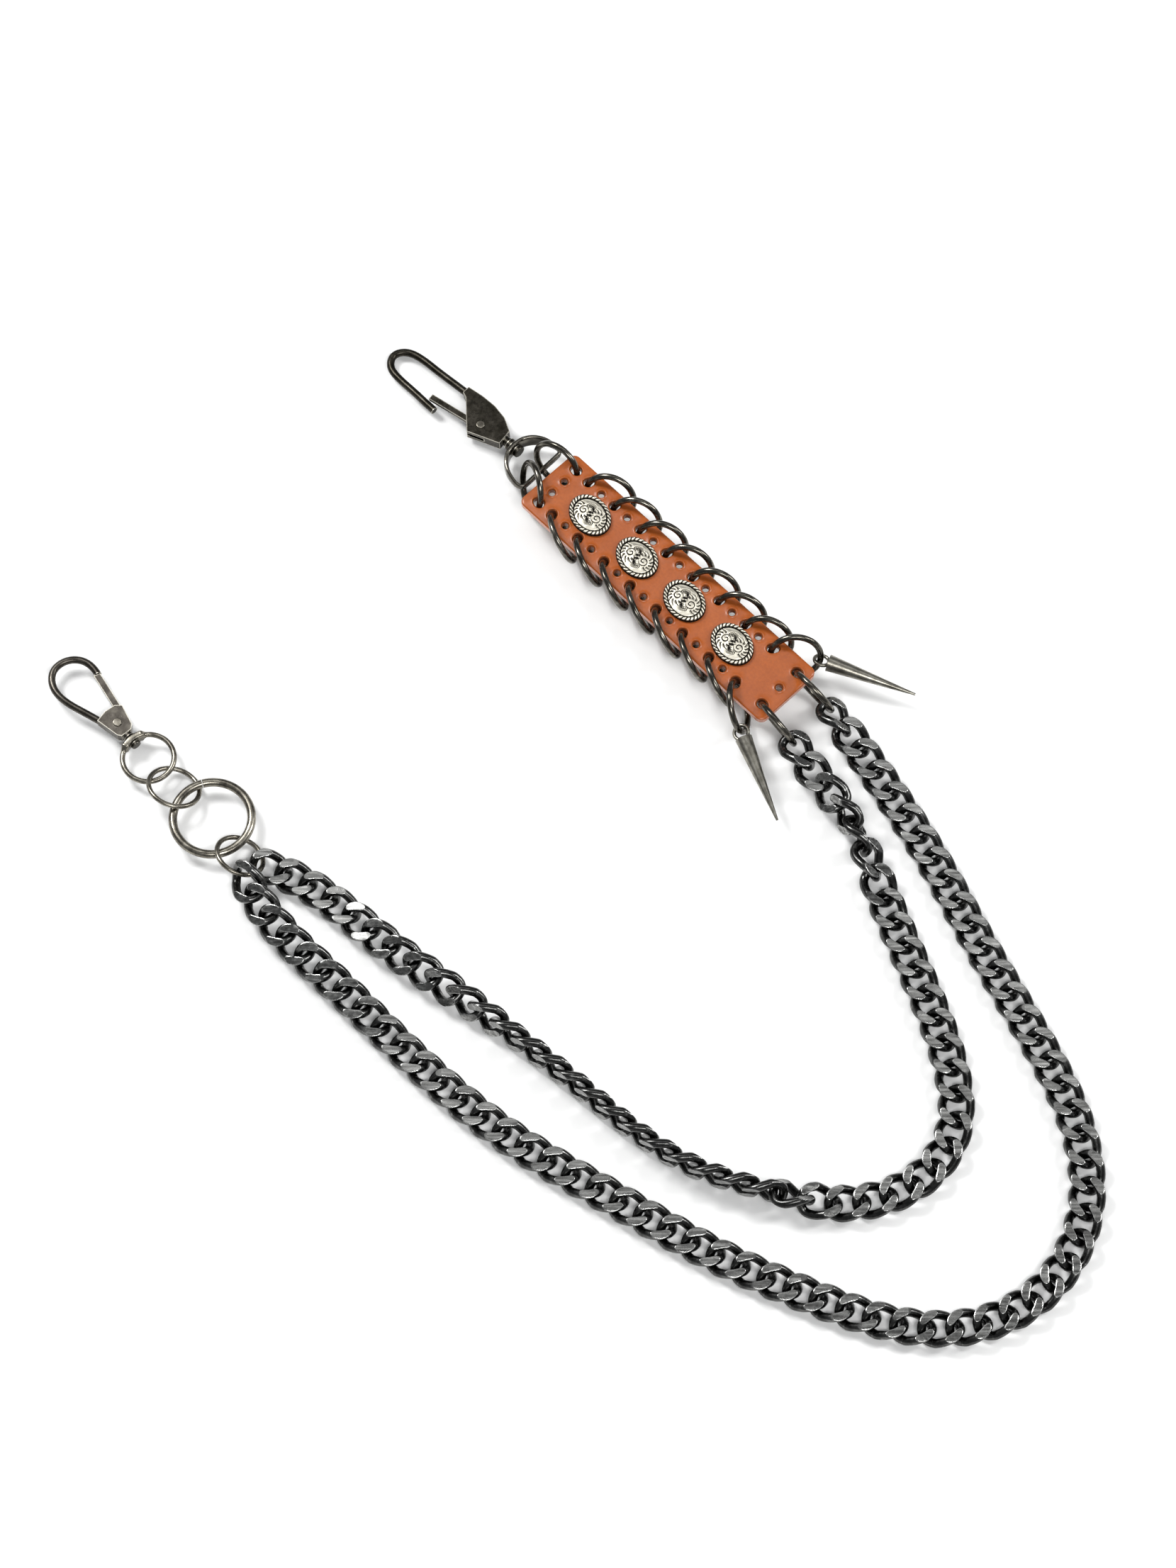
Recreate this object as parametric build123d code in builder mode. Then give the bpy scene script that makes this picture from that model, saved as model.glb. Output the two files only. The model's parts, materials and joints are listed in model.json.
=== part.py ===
from build123d import *
from math import cos, pi, radians, sin, sqrt
import os

# Double trouser chain: leather strap with conchos and laced rings, two curb chains, two snap hooks.
# Laid out flat: +Z up, z = 0 is the surface it lies on, origin under the middle of the layout. Millimetres.

# --- leather strap ---
STRAP_LENGTH = 140.0
STRAP_WIDTH = 32.0
STRAP_THICK = 3.0
STRAP_CORNER = 3.0
STRAP_Z = 13.9          # mid-thickness, held up by the rings laced through it
STRAP_HEADING = -45.6   # degrees, from the top end to the chain end
STRAP_TOP = (-13.1, 158.8)
HOLE_D = 3.6
EDGE_ROW = 10.3         # hole rows either side of the centreline
EDGE_FIRST = 14.0
EDGE_PITCH = 7.55
EDGE_HOLES = 15
TOP_ROW = 6.9
TOP_SPREAD = (-10.65, -3.55, 3.55, 10.65)
END_ROW = 5.9
END_SPREAD = (-10.0, 0.0, 10.0)

# --- rings ---
LACE_OD = 23.0
LACE_WIRE = 2.6
LACE_CUT = 3.8          # the ring's bite in the leather
LACE_CHORD_DROP = 3.0   # ring centre below the strap's middle
LACE_SPLAY = 27.0
LACE_LEAN = 68.0
LAST_SPLAY = 44.0
RING_SPLIT = 359.0      # a butt-cut ring: a hairline gap is left at the joint

# --- conchos and screws ---
CONCHO = (20.4, 15.8)
CONCHO_EDGE = 1.6
CONCHO_DOME = 1.0
CONCHO_FIRST = 25.5
CONCHO_PITCH = 27.3
CONCHO_TURN = -10.0
POST_D = 4.6
POST_BORE_D = 2.6
SCREW_D = 2.4
SCREW_HEAD_D = 7.6
SCREW_HEAD_T = 1.2

# --- curb link ---
LINK_LENGTH = 15.0      # wire centreline
LINK_WIDTH = 11.2
LINK_WAVE = 2.3
LINK_WIRE = 3.6
LINK_THICK = 5.8        # over the two ground faces

# --- end hardware ---
END_RING_AT = (-134.6, -6.9, 5.95)
END_RING_TILT = (220.0, 30.0)
END_RING_OD, END_RING_WIRE = 21.5, 2.0
BIG_RING_AT = (-146.2, 9.8, 5.5)
BIG_RING_OD, BIG_RING_WIRE = 35.0, 3.5
JUMP_RING_AT = (-161.9, 23.2, 5.75)
JUMP_RING_TILT = (230.0, 26.0)
JUMP_RING_OD, JUMP_RING_WIRE = 22.8, 2.0
SWIVEL_RING_OD, SWIVEL_RING_WIRE = 23.0, 2.2
HOOK2_HEADING = 131.0
SWIVEL_RING_AT = (-172.7, 36.5, 5.0)

# --- first hook ---
HOOK1_AT = (-26.8, 176.6, 5.8)
HOOK1_HEADING = 136.0
HOOK1_DIP = 3.3
HOOK_WIRE = 3.2
HOOK2_WIRE = 3.0
PLATE_T = 4.8
SLOT_T = 2.0
GATE_T = 1.6
RIVET_D = 2.6
RIVET_HEAD_D = 3.6
PIVOT_GAP = 0.07
STEM_D = 3.0            # swivel stem of the first hook
STEM_GAP = 0.08
FLANGE_D = 5.4
NECK = 6.0              # from the hook's plates to the middle of the bail's wall
NECK_TAPER = 2.9        # length of the neck's thick root
SIDE_PLAY = 0.3         # between a flange and the part that turns on the stem
STEM_Y = -0.6
RIVET1 = (17.1, 1.9)
GATE1_TIP = (42.6, 5.6)
BAIL_WALL = 1.8
BAIL_BAND = 6.8
BAIL_BAR = 2.8          # the bail's band narrows to this along its straight bar

# --- second hook ---
EYE_OUT = 13.0          # from the swivel ring's centre to the hook's own origin
EYE_LENGTH = 3.0
EYE_D = 5.2
PIN2_D = 2.4
RIVET2 = (6.5, 0.0)
NOSE_R = 24.2           # gate length from the rivet

# --- spikes ---
SPIKE_LENGTH = 37.5
SPIKE_BASE_D = 7.0
SPIKE_TIP_D = 1.0
SPIKE_EYE_R, SPIKE_EYE_WIRE = 3.0, 1.5
SPIKE_SEAT = -10.0      # degrees round the ring below its chord
SPIKE_AIM = {"left": Vector(37.6, -17.2, -1.0), "right": Vector(35.6, 16.7, -1.0)}

LAYOUT_CENTRE = (-4.9, 8.8, 0.02)     # middle of the footprint, moved to the origin on saving
TO_ORIGIN = Location((-LAYOUT_CENTRE[0], -LAYOUT_CENTRE[1], -LAYOUT_CENTRE[2]))

os.makedirs("parts", exist_ok=True)


def lean_plane(origin, heading, dip=0.0):
    """Plane whose x runs along heading and dips below the horizontal; y stays level, to the left."""
    h, d = radians(heading), radians(dip)
    x = Vector(cos(h) * cos(d), sin(h) * cos(d), -sin(d))
    y = Vector(-sin(h), cos(h), 0)
    return Plane(origin=origin, x_dir=x, z_dir=x.cross(y))


def tilted_plane(origin, tilt):
    """Nearly level plane that rises towards the azimuth tilt[0] by tilt[1] degrees."""
    a, t = radians(tilt[0]), radians(tilt[1])
    return Plane(origin=origin, z_dir=(-cos(a) * sin(t), -sin(a) * sin(t), cos(t)))


strap_plane = lean_plane((*STRAP_TOP, STRAP_Z), STRAP_HEADING)
along, left, up = strap_plane.x_dir, strap_plane.y_dir, strap_plane.z_dir


def on_strap(a, b, z=0.0):
    """World point from distance along the strap, offset to its left, and height over its middle."""
    return strap_plane.origin + along * a + left * b + up * z


def chord_ring_plane(hole, toward, arch, drop, radius):
    """Plane of a ring whose wire passes through hole and spans towards `toward`.
    arch is the in-plane direction the ring rises in; drop is how far its centre lies below the chord."""
    t = toward.normalized()
    n = t.cross(arch).normalized()
    rise = n.cross(t).normalized()
    half = sqrt(radius**2 - drop**2)
    return Plane(origin=hole + t * half - rise * drop, x_dir=t, z_dir=n)


# ---------- rings laced through the strap ----------
lace_r = (LACE_OD - LACE_WIRE) / 2


def lace_plane(index, side, splay):
    """Side ring number index; side is +1 on the right edge (+y of the strap) and -1 on the left one."""
    hole = on_strap(EDGE_FIRST + 2 * EDGE_PITCH * index, side * EDGE_ROW)
    s, t = radians(splay), radians(LACE_LEAN)
    toward = along * cos(s) + left * (side * sin(s))
    arch = along * (-sin(s) * cos(t)) + left * (side * cos(s) * cos(t)) + up * sin(t)
    return chord_ring_plane(hole, toward, arch, LACE_CHORD_DROP, lace_r)


SIDE_RINGS = 8
side_planes = {}
for side, name in ((1, "right"), (-1, "left")):
    for i in range(SIDE_RINGS):
        splay = LAST_SPLAY if i == SIDE_RINGS - 1 else LACE_SPLAY
        side_planes[f"side_ring_{name}_{i + 1}"] = lace_plane(i, side, splay)

TOP_REACH = {"a": Vector(-18.9, -5.0, -7.9), "b": Vector(-18.9, 8.0, -7.9)}
TOP_HOLE = {"a": 10.65, "b": -10.65}
END_REACH = {"outer": Vector(17.9, 0.6, -6.2), "inner": Vector(17.9, -0.6, -6.2)}
END_HOLE = {"outer": 10.0, "inner": -10.0}
END_RISE = -1.2         # centres of the end rings lie above their chords
LACE_TIP = 15.0         # degrees the end rings lean off the vertical


def end_ring_plane(hole, reach, lean):
    toward = along * reach.X + left * reach.Y + up * reach.Z
    tipped = up * cos(radians(lean)) + toward.cross(up).normalized() * sin(radians(lean))
    return chord_ring_plane(hole, toward, tipped, END_RISE, lace_r)


top_planes = {
    k: end_ring_plane(on_strap(TOP_ROW, TOP_HOLE[k]), TOP_REACH[k], LACE_TIP) for k in ("a", "b")
}
end_planes = {
    k: end_ring_plane(on_strap(STRAP_LENGTH - END_ROW, END_HOLE[k]), END_REACH[k], LACE_TIP)
    for k in ("outer", "inner")
}


def ring_part(plane, od, wire):
    with BuildPart(plane) as ring:
        Torus((od - wire) / 2, wire / 2, major_angle=RING_SPLIT)
    return ring.part


# ---------- curb chains ----------
LINK_PITCH = 10.9
OUTER_LINKS, INNER_LINKS = 61, 47
LINK_SAG = 1.0          # steepest drop per link from a raised end to the table
SEAT = 18.8             # from a strap hole, along an end ring's chord, to the first link's joint
OUTER_BENDS = (
    (122, 26), (137, 1), (159, -44), (181, -87), (196, -127), (196, -158), (183, -184), (160, -200),
    (130, -203), (91, -191), (52, -173), (13, -150), (-27, -125), (-64, -93), (-98, -59), (-119, -38),
)
INNER_BENDS = (
    (96, 27), (108, 9), (121, -23), (137, -66), (147, -102), (147, -121), (136, -140), (111, -152),
    (80, -150), (43, -138), (1, -106), (-45, -69), (-77, -44), (-102, -22),
)
# how far each chain is rolled about its own length, as (link, degrees) corners
OUTER_ROLL = ((0, -38), (1, 0), (52, 0), (60, -36))
INNER_ROLL = ((0, -25), (1, 0), (6, 180), (22, 180), (24, 265), (35, 275), (43, 360), (46, 360))
OUTER_END = (-85.0, 7.5, 9.0)    # bearing from the end ring, distance, height of the last joint
INNER_END = (-20.0, 7.5, 4.0)


def first_joint(key):
    hole = on_strap(STRAP_LENGTH - END_ROW, END_HOLE[key])
    reach = END_REACH[key]
    return hole + (along * reach.X + left * reach.Y + up * reach.Z).normalized() * SEAT


def last_joint(bearing, distance, height):
    a = radians(bearing)
    x, y, _ = END_RING_AT
    return Vector(x + distance * cos(a), y + distance * sin(a), height)


def march(path, step, count):
    """Points along the path at equal straight-line steps; the last one may fall past its end."""
    at, points = 0.0, [path @ 0]
    for _ in range(count):
        low, high = at, at + 2.5 * step / path.length
        for _ in range(30):
            mid = (low + high) / 2
            if (path @ min(mid, 1.0) - points[-1]).length + max(mid - 1, 0) * path.length < step:
                low = mid
            else:
                high = mid
        at = high
        points.append(path @ min(at, 1.0))
    return points, at


def even_steps(path, count):
    """Split the path into count equal straight steps."""
    low, high = 0.9 * path.length / count, path.length / count
    for _ in range(30):
        step = (low + high) / 2
        points, at = march(path, step, count)
        if at < 1:
            low = step
        else:
            high = step
    return points[:-1] + [path @ 1]


def roll_at(corners, index):
    for (i, a), (j, b) in zip(corners, corners[1:]):
        if i <= index <= j:
            return a + (b - a) * (index - i) / (j - i)


def resting_height(roll):
    r = radians(roll)
    return (LINK_WIDTH + LINK_WIRE) / 2 * abs(sin(r)) + LINK_THICK / 2 * abs(cos(r)) + 0.05


def lay_chain(start, bends, end, count, rolls):
    """Joints between links: the bends set the plan, the roll sets the height, both ends are fixed."""
    with BuildLine() as plan:
        Spline((start.X, start.Y), *bends, (end.X, end.Y))
    joints = []
    for i, p in enumerate(even_steps(plan.line.edge(), count)):
        before, after = roll_at(rolls, max(i - 1, 0)), roll_at(rolls, min(i, count - 1))
        rest = (resting_height(before) + resting_height(after)) / 2
        lift = max(start.Z - LINK_SAG * i, end.Z - LINK_SAG * (count - i), rest)
        joints.append(Vector(p.X, p.Y, lift))
    joints[0], joints[-1] = start, end
    return joints


def link_plane(here, there, roll):
    """Plane of one link lying between two joints."""
    x = (there - here).normalized()
    y = Vector(0, 0, 1).cross(x).normalized()
    z = x.cross(y)
    r = radians(roll)
    return Plane(origin=(here + there) * 0.5, x_dir=x, z_dir=z * cos(r) - y * sin(r))


outer_joints = lay_chain(
    first_joint("outer"), OUTER_BENDS, last_joint(*OUTER_END), OUTER_LINKS, OUTER_ROLL
)
inner_joints = lay_chain(
    first_joint("inner"), INNER_BENDS, last_joint(*INNER_END), INNER_LINKS, INNER_ROLL
)
outer_planes = [
    link_plane(outer_joints[i], outer_joints[i + 1], roll_at(OUTER_ROLL, i)) for i in range(OUTER_LINKS)
]
inner_planes = [
    link_plane(inner_joints[i], inner_joints[i + 1], roll_at(INNER_ROLL, i)) for i in range(INNER_LINKS)
]

# ---------- end of layout ----------


def write(part, name):
    part.label = name
    export_step(part, f"parts/{name}.step")


def save(part, name):
    write(part.moved(TO_ORIGIN), name)


# ---------- leather strap ----------
post_places = [(CONCHO_FIRST + i * CONCHO_PITCH, 0) for i in range(4)]
edge_places = [(EDGE_FIRST + i * EDGE_PITCH, s * EDGE_ROW) for i in range(EDGE_HOLES) for s in (-1, 1)]
end_places = [(TOP_ROW, b) for b in TOP_SPREAD] + [(STRAP_LENGTH - END_ROW, b) for b in END_SPREAD]

with BuildPart(strap_plane) as strap:
    with BuildSketch(strap_plane.offset(-STRAP_THICK / 2)):
        with Locations((STRAP_LENGTH / 2, 0)):
            RectangleRounded(STRAP_LENGTH, STRAP_WIDTH, STRAP_CORNER)
    extrude(amount=STRAP_THICK)
    rims = strap.faces().filter_by(lambda f: f.area > 1000)
    fillet(rims.edges(), 0.6)
    with BuildSketch(strap_plane.offset(-STRAP_THICK / 2)):
        with Locations(*edge_places, *end_places):
            Circle(HOLE_D / 2)
        with Locations(*post_places):
            Circle((POST_D + 0.3) / 2)
    extrude(amount=STRAP_THICK, mode=Mode.SUBTRACT)
laced = [*side_planes.values(), *top_planes.values(), *end_planes.values()]
with BuildPart() as bites:
    for plane in laced:
        with Locations(plane):
            Torus(lace_r, LACE_CUT / 2)
with BuildPart() as holes:
    with Locations(*[on_strap(a, b) for a, b in edge_places + end_places]):
        Sphere(LACE_CUT)
    add(bites.part, mode=Mode.INTERSECT)
with BuildPart() as punched:
    add(strap.part)
    add(holes.part, mode=Mode.SUBTRACT)
save(punched.part, "leather_strap")

# ---------- conchos and their screws ----------
screws = []
for i, (a, b) in enumerate(post_places):
    seat = Plane(origin=on_strap(a, b, STRAP_THICK / 2), x_dir=along, z_dir=up)
    seat = seat.rotated((0, 0, CONCHO_TURN))
    with BuildPart(seat) as concho:
        with BuildSketch(seat):
            Ellipse(CONCHO[0] / 2, CONCHO[1] / 2)
        extrude(amount=CONCHO_EDGE)
        fillet(concho.faces().sort_by(Axis.Z)[-1].edges(), 0.5)
        with BuildSketch(seat.offset(CONCHO_EDGE - 0.5)):
            Ellipse(CONCHO[0] / 2 - 1.7, CONCHO[1] / 2 - 1.7)
            Ellipse(CONCHO[0] / 2 - 2.3, CONCHO[1] / 2 - 2.3, mode=Mode.SUBTRACT)
        extrude(amount=1, mode=Mode.SUBTRACT)
        with BuildSketch(seat.offset(CONCHO_EDGE)):
            Ellipse(CONCHO[0] / 2 - 2.6, CONCHO[1] / 2 - 2.6)
        extrude(amount=CONCHO_DOME, taper=52)
        with BuildSketch(seat.offset(-STRAP_THICK)):
            Circle(POST_D / 2)
        extrude(amount=STRAP_THICK)
        with BuildSketch(seat.offset(-STRAP_THICK)):
            Circle(POST_BORE_D / 2)
        extrude(amount=STRAP_THICK, mode=Mode.SUBTRACT)
    save(concho.part, f"concho_{i + 1}")
    under = seat.offset(-STRAP_THICK)
    with BuildPart(under) as screw:
        with BuildSketch(under.offset(-SCREW_HEAD_T)):
            Circle(SCREW_HEAD_D / 2)
        extrude(amount=SCREW_HEAD_T)
        fillet(screw.faces().sort_by(Axis.Z)[0].edges(), 0.5)
        with BuildSketch(under):
            Circle(SCREW_D / 2)
        extrude(amount=STRAP_THICK - 0.4)
        with BuildSketch(under.offset(-SCREW_HEAD_T)):
            Rectangle(SCREW_HEAD_D, 0.9)
        extrude(amount=0.5, mode=Mode.SUBTRACT)
    screws.append(screw.part.solid())
save(Compound(children=screws), "concho_screws")

# ---------- laced rings ----------
for name, plane in side_planes.items():
    save(ring_part(plane, LACE_OD, LACE_WIRE), name)
for key, plane in top_planes.items():
    save(ring_part(plane, LACE_OD, LACE_WIRE), f"top_ring_{key}")
for key, plane in end_planes.items():
    save(ring_part(plane, LACE_OD, LACE_WIRE), f"chain_ring_{key}")

# ---------- curb chains, ten links to a run ----------
BANDS = 6
OUTER_CUTS = (0, 10, 20, 30, 40, 50, OUTER_LINKS)
INNER_CUTS = (0, 8, 14, 22, 31, 39, INNER_LINKS)


def wire_point(t):
    return (LINK_LENGTH / 2 * cos(t), LINK_WIDTH / 2 * sin(t), -LINK_WAVE * sin(2 * t))


def wire_heading(t):
    return Vector(-LINK_LENGTH / 2 * sin(t), LINK_WIDTH / 2 * cos(t), -2 * LINK_WAVE * cos(2 * t)).normalized()


quarters = []
for start in (0, pi / 2):
    with BuildPart() as quarter:
        with BuildLine():
            Spline(
                *[wire_point(start + i * pi / 8) for i in range(5)],
                tangents=[wire_heading(start), wire_heading(start + pi / 2)],
            )
        with BuildSketch(Plane(origin=wire_point(start), z_dir=wire_heading(start))):
            Circle(LINK_WIRE / 2)
        sweep()
        with Locations((0, 0, LINK_THICK / 2)):
            Box(40, 40, 10, align=(Align.CENTER, Align.CENTER, Align.MIN), mode=Mode.SUBTRACT)
        with Locations((0, 0, -LINK_THICK / 2)):
            Box(40, 40, 10, align=(Align.CENTER, Align.CENTER, Align.MAX), mode=Mode.SUBTRACT)
    quarters.append(quarter.part)
with BuildPart() as link:
    for quarter in quarters:
        add(quarter)
        add(quarter, rotation=(0, 0, 180))
link_solid = link.part.solid()

for name, planes, cuts in (
    ("outer_chain", outer_planes, OUTER_CUTS),
    ("inner_chain", inner_planes, INNER_CUTS),
):
    for band in range(BANDS):
        run = [link_solid.moved(TO_ORIGIN * p.location) for p in planes[cuts[band]:cuts[band + 1]]]
        write(Compound(children=run), f"{name}_{band + 1}")

# ---------- end ring, big ring, jump ring ----------
save(ring_part(tilted_plane(END_RING_AT, END_RING_TILT), END_RING_OD, END_RING_WIRE), "end_ring")
save(ring_part(Plane(origin=BIG_RING_AT, x_dir=(-0.3, 1, 0)), BIG_RING_OD, BIG_RING_WIRE), "big_ring")
save(ring_part(tilted_plane(JUMP_RING_AT, JUMP_RING_TILT), JUMP_RING_OD, JUMP_RING_WIRE), "jump_ring")


def hook_arm(frame, points, wire):
    """Round-section cast arm of a hook, swept along a smooth line through the points."""
    ahead = Vector(*points[1]) - Vector(*points[0])
    behind = Vector(*points[-1]) - Vector(*points[-2])
    path = [frame.from_local_coords((x, y, 0)) for x, y in points]
    with BuildPart() as arm:
        with BuildLine() as middle:
            Spline(
                *path,
                tangents=[frame.x_dir * v.X + frame.y_dir * v.Y for v in (ahead, behind)],
            )
        with BuildSketch(Plane(origin=path[0], z_dir=middle.line % 0)):
            Circle(wire / 2)
        sweep()
    return arm.part


# ---------- first hook: x runs from the swivel to the tip of the hook, the gate is on its +y side ----------
hook1 = lean_plane(HOOK1_AT, HOOK1_HEADING, HOOK1_DIP)

arm1 = hook_arm(
    hook1,
    [
        (29, -6.2), (38, -5.8), (50, -5.3), (60, -4.8), (65.6, -2.8), (68.2, 1.6),
        (65.6, 6.2), (60, 8.0), (50, 8.5), (43, 8.9), (37, 9.2),
    ],
    HOOK_WIRE,
)
with BuildPart() as hook1_body:
    with BuildSketch(hook1):
        with BuildLine():
            Polyline(
                (5.1, 2.9), (6.1, -4.0), (12, -7.2), (19, -8.6), (26, -8.6),
                (33.5, -7.8), (33.5, -4.4), (31.0, -3.4), (19.2, 8.0), close=True,
            )
        make_face()
    extrude(amount=PLATE_T / 2, both=True)
    with BuildSketch(hook1):
        with BuildLine():
            Polyline((12, -3.6), (40, -3.6), (40, 12), (12, 12), close=True)
        make_face()
    extrude(amount=SLOT_T / 2, both=True, mode=Mode.SUBTRACT)
    with BuildSketch(hook1):
        with Locations(RIVET1):
            Circle(RIVET_D / 2)
    extrude(amount=PLATE_T, both=True, mode=Mode.SUBTRACT)
    add(arm1)
    neck = Plane(origin=hook1.from_local_coords((NECK, STEM_Y, 0)), x_dir=hook1.y_dir, z_dir=-hook1.x_dir)
    stem_end = neck.offset(NECK + BAIL_WALL / 2 + SIDE_PLAY)
    with BuildSketch(neck.offset(-1.5)):
        Circle(2.1)
    extrude(amount=1.5 + NECK_TAPER)
    with BuildSketch(neck.offset(NECK_TAPER)):
        Circle(FLANGE_D / 2)
    extrude(amount=NECK - BAIL_WALL / 2 - SIDE_PLAY - NECK_TAPER)
    with BuildSketch(neck.offset(NECK_TAPER)):
        Circle(STEM_D / 2)
    extrude(amount=NECK + BAIL_WALL / 2 + SIDE_PLAY - NECK_TAPER)
    with BuildSketch(stem_end):
        Circle(FLANGE_D / 2)
    extrude(amount=2.0)
    fillet(hook1_body.faces().sort_by(Axis(neck.origin, neck.z_dir))[-1].edges(), 0.6)
save(hook1_body.part, "hook1_body")

with BuildPart(hook1) as gate1:
    with BuildSketch(hook1):
        with BuildLine():
            Polyline(RIVET1, GATE1_TIP)
        trace(line_width=2.6)
        with Locations(RIVET1):
            Circle(3.1)
            Circle(RIVET_D / 2 + PIVOT_GAP, mode=Mode.SUBTRACT)
    extrude(amount=GATE_T / 2, both=True)
save(gate1.part, "hook1_gate")


def rivet_part(frame, at, length):
    with BuildPart(frame) as rivet:
        for flip in (1, -1):
            face = Plane(
                origin=frame.from_local_coords((*at, flip * length / 2)),
                x_dir=frame.x_dir,
                z_dir=frame.z_dir * flip,
            )
            with BuildSketch(face):
                Circle(RIVET_HEAD_D / 2)
            extrude(amount=0.5)
            fillet(rivet.faces().sort_by(Axis(face.origin, face.z_dir))[-1].edges(), 0.3)
        with BuildSketch(frame):
            with Locations(at):
                Circle(RIVET_D / 2)
        extrude(amount=length / 2, both=True)
    return rivet.part


save(rivet_part(hook1, RIVET1, PLATE_T), "hook1_rivet")

# ---------- bail: a band bent into a D, its straight bar carries the two top rings ----------
bail_frame = Plane(
    origin=hook1.from_local_coords((0, STEM_Y, 0)), x_dir=-hook1.x_dir, z_dir=hook1.z_dir
)
with BuildPart(bail_frame) as bail:
    with BuildSketch(bail_frame):
        with BuildLine():
            Polyline(
                (-1, -3.8), (6.5, -11.4), (14.2, -12.8), (16.6, -11.6),
                (16.6, 11.6), (14.2, 12.8), (6.5, 11.4), (-1, 3.8), close=True,
            )
        make_face()
        fillet(vertices(), 1.8)
        offset(amount=-BAIL_WALL, mode=Mode.SUBTRACT)
    extrude(amount=BAIL_BAND / 2, both=True)
    side_view = Plane(origin=bail_frame.origin, x_dir=bail_frame.x_dir, z_dir=-bail_frame.y_dir)
    with BuildSketch(side_view):
        with BuildLine():
            Polyline(
                (-3, -BAIL_BAND / 2), (5, -BAIL_BAND / 2), (12, -BAIL_BAR / 2), (20, -BAIL_BAR / 2),
                (20, BAIL_BAR / 2), (12, BAIL_BAR / 2), (5, BAIL_BAND / 2), (-3, BAIL_BAND / 2), close=True,
            )
        make_face()
    extrude(amount=20, both=True, mode=Mode.INTERSECT)
    bore = Plane(origin=bail_frame.origin, z_dir=bail_frame.x_dir)
    with BuildSketch(bore.offset(-3)):
        Circle(STEM_D / 2 + STEM_GAP)
    extrude(amount=6, mode=Mode.SUBTRACT)
save(bail.part, "bail")

# ---------- second hook: x runs from the swivel to the tip, the gate is on its -y side ----------
ring_r = (SWIVEL_RING_OD - SWIVEL_RING_WIRE) / 2
heading = radians(HOOK2_HEADING)
x0, y0, z0 = SWIVEL_RING_AT
hook2 = lean_plane((x0 + EYE_OUT * cos(heading), y0 + EYE_OUT * sin(heading), z0), HOOK2_HEADING)

arm2 = hook_arm(
    hook2,
    [
        (6, 2.4), (12, 4.3), (20, 6.9), (29, 9.5), (37, 9.0), (42.2, 4.6), (42.4, -2.0),
        (38, -7.2), (32, -8.4), (27, -7.7),
    ],
    HOOK2_WIRE,
)
with BuildPart() as hook2_body:
    add(arm2)
    with BuildSketch(hook2):
        with Locations(RIVET2):
            Circle(NOSE_R)
            Rectangle(30, 20, align=(Align.MAX, Align.CENTER), mode=Mode.SUBTRACT)
        with BuildLine():
            Polyline((0, 1.2), (40, 1.2), (40, 40), (0, 40), close=True)
        make_face(mode=Mode.SUBTRACT)
    extrude(amount=5, both=True, mode=Mode.SUBTRACT)
    with BuildSketch(hook2):
        with BuildLine():
            Polyline(
                (0.6, 2.4), (0.6, -2.4), (2.2, -4.0), (11.3, -6.3), (13.2, -4.0), (13.6, 0.6),
                (12.4, 5.6), (2.2, 3.6), close=True,
            )
        make_face()
    extrude(amount=PLATE_T / 2, both=True)
    with BuildSketch(hook2):
        with BuildLine():
            Polyline((3.4, 3.4), (10, 3.4), (18, 1.5), (18, -10), (3.4, -10), close=True)
        make_face()
    extrude(amount=SLOT_T / 2, both=True, mode=Mode.SUBTRACT)
    with BuildSketch(hook2):
        with Locations(RIVET2):
            Circle(RIVET_D / 2)
    extrude(amount=PLATE_T, both=True, mode=Mode.SUBTRACT)
    foot = Plane(origin=hook2.from_local_coords((1.0, 0, 0)), x_dir=hook2.y_dir, z_dir=-hook2.x_dir)
    gap_in = EYE_OUT + 1.0 - ring_r - EYE_LENGTH / 2 - 0.25
    with BuildSketch(foot):
        Circle(2.3)
    extrude(amount=gap_in)
    with BuildSketch(foot.offset(gap_in)):
        Circle(PIN2_D / 2)
    extrude(amount=EYE_LENGTH + 0.5)
    with BuildSketch(foot.offset(gap_in + EYE_LENGTH + 0.5)):
        Circle(2.1)
    extrude(amount=1.5)
    fillet(hook2_body.faces().sort_by(Axis(foot.origin, foot.z_dir))[-1].edges(), 0.5)
save(hook2_body.part, "hook2_body")
save(rivet_part(hook2, RIVET2, PLATE_T), "hook2_rivet")

with BuildPart(hook2) as gate2:
    with BuildSketch(hook2):
        with BuildLine():
            Polyline(RIVET2, (12, -4.6), (29.5, -7.6))
        trace(line_width=2.8)
        with Locations(RIVET2):
            Circle(2.9)
            Circle(RIVET_D / 2 + PIVOT_GAP, mode=Mode.SUBTRACT)
            Circle(NOSE_R - 0.25, mode=Mode.INTERSECT)
    extrude(amount=GATE_T / 2, both=True)
save(gate2.part, "hook2_gate")

ring_plane = Plane(origin=SWIVEL_RING_AT, x_dir=-hook2.x_dir, z_dir=(0, 0, 1))
with BuildPart(ring_plane) as swivel_ring:
    Torus(ring_r, SWIVEL_RING_WIRE / 2)
    eye_at = hook2.from_local_coords((ring_r - EYE_OUT + EYE_LENGTH / 2, 0, 0))
    eye = Plane(origin=eye_at, z_dir=-hook2.x_dir)
    with BuildSketch(eye):
        Circle(EYE_D / 2)
    extrude(amount=EYE_LENGTH)
    with BuildSketch(eye.offset(-1)):
        Circle(PIN2_D / 2 + STEM_GAP)
    extrude(amount=EYE_LENGTH + 2, mode=Mode.SUBTRACT)
save(swivel_ring.part, "swivel_ring")

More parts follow.
